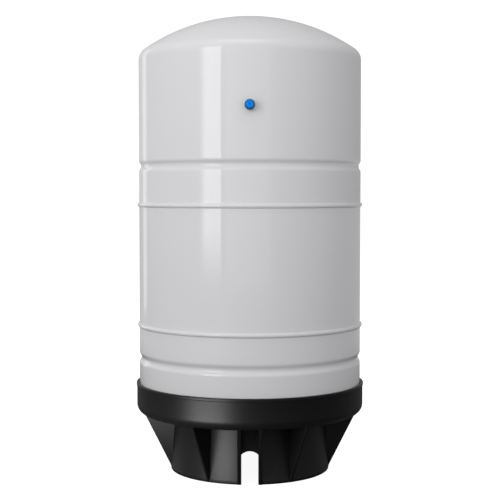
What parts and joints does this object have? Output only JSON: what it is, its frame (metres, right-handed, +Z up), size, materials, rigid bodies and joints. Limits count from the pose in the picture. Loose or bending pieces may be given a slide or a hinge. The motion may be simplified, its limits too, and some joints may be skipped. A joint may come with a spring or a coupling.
{
  "type": "expansion vessel",
  "caption": "Upright steel diaphragm expansion vessel with domed ends, rolled grooves, weld beads, a side air valve under a screw cap and a ribbed plastic stand with a pipe slot.",
  "frame": {"origin": "centre of the foot, on the floor", "axes": "+Z up along the vessel's axis, the air valve and the pipe slot face -Y, +X to the right seen from the front"},
  "size_m": [0.4018, 0.4129, 0.795],
  "materials": {
    "enamel": "gloss",
    "zinc": "satin",
    "stainless": "satin",
    "brass": "satin",
    "spring_steel": "satin",
    "black_plastic": "semi-gloss moulded",
    "cap_plastic": "gloss",
    "liner_plastic": "satin",
    "butyl": "matt",
    "seal_rubber": "matt",
    "nylon": "satin"
  },
  "bodies": {
    "root": {"top_shell": "enamel", "middle_shell": "enamel", "bottom_shell": "enamel", "upper_weld_bead": "enamel", "lower_weld_bead": "enamel", "seam_weld_bead": "enamel", "clench_ring": "zinc", "diaphragm": "butyl", "water_liner": "liner_plastic", "water_inlet": "stainless", "inlet_seal": "seal_rubber", "inlet_washer": "nylon", "inlet_lock_nut": "stainless", "stand": "black_plastic", "valve_boss": "enamel", "valve_stem": "brass", "valve_stem_seal": "seal_rubber", "valve_core": "brass", "core_spring": "spring_steel"},
    "cap_carrier": {"cap_seal": "seal_rubber"},
    "cap": {"valve_cap": "cap_plastic"},
    "pin": {"core_pin": "brass", "core_seat_washer": "seal_rubber"},
    "diaphragm_centre": {"diaphragm_pad": "butyl"}
  },
  "joints": [
    {"name": "cap_travel", "type": "slide", "parent": "root", "child": "cap_carrier", "axis": [0, -1, 0], "range_m": [0, 0.00874]},
    {"name": "cap_turn", "type": "hinge", "parent": "cap_carrier", "child": "cap", "pos_m": [0, -0.205, 0.62901], "axis": [0, -1, 0], "range_deg": [0, 3960]},
    {"name": "core_pin_press", "type": "slide", "parent": "root", "child": "pin", "axis": [0, 1, 0], "range_m": [0, 0.0012], "stiffness_N_per_m": 500, "springref_m": -0.002, "deforming": ["core_spring"]},
    {"name": "diaphragm_travel", "type": "slide", "parent": "root", "child": "diaphragm_centre", "axis": [0, 0, 1], "range_m": [0, 0.226], "deforming": ["diaphragm"]}
  ],
  "couplings": [
    {"joint": "cap_travel", "follows": "cap_turn", "m_per_rad": 0.00012637}
  ]
}
